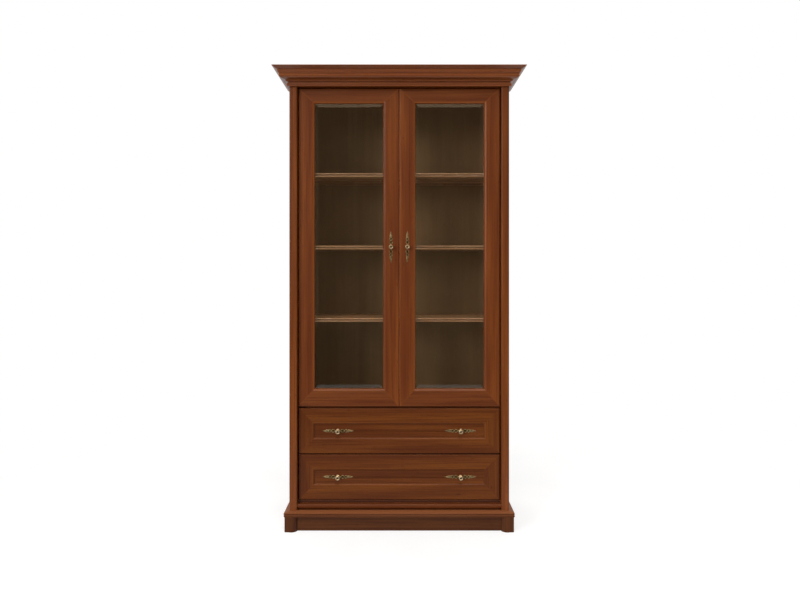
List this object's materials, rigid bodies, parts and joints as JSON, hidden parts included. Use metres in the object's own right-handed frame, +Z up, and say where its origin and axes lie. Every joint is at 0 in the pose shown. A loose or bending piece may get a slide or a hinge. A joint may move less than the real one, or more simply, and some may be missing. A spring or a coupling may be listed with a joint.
{
  "type": "bookcase with glass doors and drawers",
  "caption": "Tall classic bookcase: framed bevelled-glass doors over drawers, shelves inside, between pilasters with a crown cornice and a plinth.",
  "frame": {"origin": "on the floor, in the middle of the overall width and depth", "axes": "+X across the front to the viewer's right, +Y from the front to the wall, +Z up"},
  "size_m": [1.082, 0.4144, 2],
  "materials": {
    "case_wood": "chestnut stained, satin lacquer",
    "moulding_wood": "chestnut stained, satin lacquer",
    "door_wood": "chestnut stained, satin lacquer",
    "drawer_front_wood": "chestnut stained, satin lacquer",
    "shelf_wood": "chestnut stained, satin lacquer",
    "back_board": "dark brown hardboard, matt",
    "hardwood": "bare beech",
    "drawer_box_wood": "brown foil on board, matt",
    "bevelled_glass": "clear, bevelled edges",
    "antique_brass": "antiqued, dark in the hollows",
    "steel": "nickel plated"
  },
  "bodies": {
    "root": {"left_side_panel": "case_wood", "right_side_panel": "case_wood", "left_pilaster": "case_wood", "right_pilaster": "case_wood", "top_panel": "case_wood", "middle_panel": "case_wood", "bottom_panel": "case_wood", "back_panel": "back_board", "bottom_rail": "case_wood", "top_rail": "case_wood", "cornice_front": "moulding_wood", "cornice_left": "moulding_wood", "cornice_right": "moulding_wood", "cornice_top_board": "case_wood", "plinth_front": "case_wood", "plinth_sides": "case_wood", "plinth_back": "case_wood", "plinth_cap": "moulding_wood", "left_corner_foot": "case_wood", "right_corner_foot": "case_wood", "rear_feet": "case_wood", "shelf_pins": "steel", "carcass_dowels": "hardwood", "hinge_arms": "steel", "hinge_screws": "steel", "packing_strips": "hardwood", "drawer_runners": "hardwood", "lower_shelf": "shelf_wood", "middle_shelf": "shelf_wood", "upper_shelf": "shelf_wood"},
    "left_door": {"left_door_outer_stile": "door_wood", "left_door_inner_stile": "door_wood", "left_door_bottom_rail": "door_wood", "left_door_top_rail": "door_wood", "left_door_glass": "bevelled_glass", "left_door_glazing_beads": "door_wood", "left_door_handle": "antique_brass", "left_hinge_cups": "steel", "left_hinge_pins": "steel"},
    "right_door": {"right_door_outer_stile": "door_wood", "right_door_inner_stile": "door_wood", "right_door_bottom_rail": "door_wood", "right_door_top_rail": "door_wood", "right_door_glass": "bevelled_glass", "right_door_glazing_beads": "door_wood", "right_door_handle": "antique_brass", "right_hinge_cups": "steel", "right_hinge_pins": "steel"},
    "lower_drawer": {"lower_drawer_frame": "drawer_front_wood", "lower_drawer_panel": "drawer_front_wood", "lower_drawer_sides": "drawer_box_wood", "lower_drawer_back": "drawer_box_wood", "lower_drawer_bottom": "drawer_box_wood", "lower_drawer_handles": "antique_brass"},
    "upper_drawer": {"upper_drawer_frame": "drawer_front_wood", "upper_drawer_panel": "drawer_front_wood", "upper_drawer_sides": "drawer_box_wood", "upper_drawer_back": "drawer_box_wood", "upper_drawer_bottom": "drawer_box_wood", "upper_drawer_handles": "antique_brass"}
  },
  "joints": [
    {"name": "left_door_swing", "type": "hinge", "parent": "root", "child": "left_door", "pos_m": [-0.431, -0.11475, 1.2275], "axis": [0, 0, -1], "range_deg": [0, 90]},
    {"name": "right_door_swing", "type": "hinge", "parent": "root", "child": "right_door", "pos_m": [0.431, -0.11475, 1.2275], "axis": [0, 0, 1], "range_deg": [0, 90]},
    {"name": "lower_drawer_slide", "type": "slide", "parent": "root", "child": "lower_drawer", "axis": [0, -1, 0], "range_m": [0, 0.24]},
    {"name": "upper_drawer_slide", "type": "slide", "parent": "root", "child": "upper_drawer", "axis": [0, -1, 0], "range_m": [0, 0.24]}
  ]
}
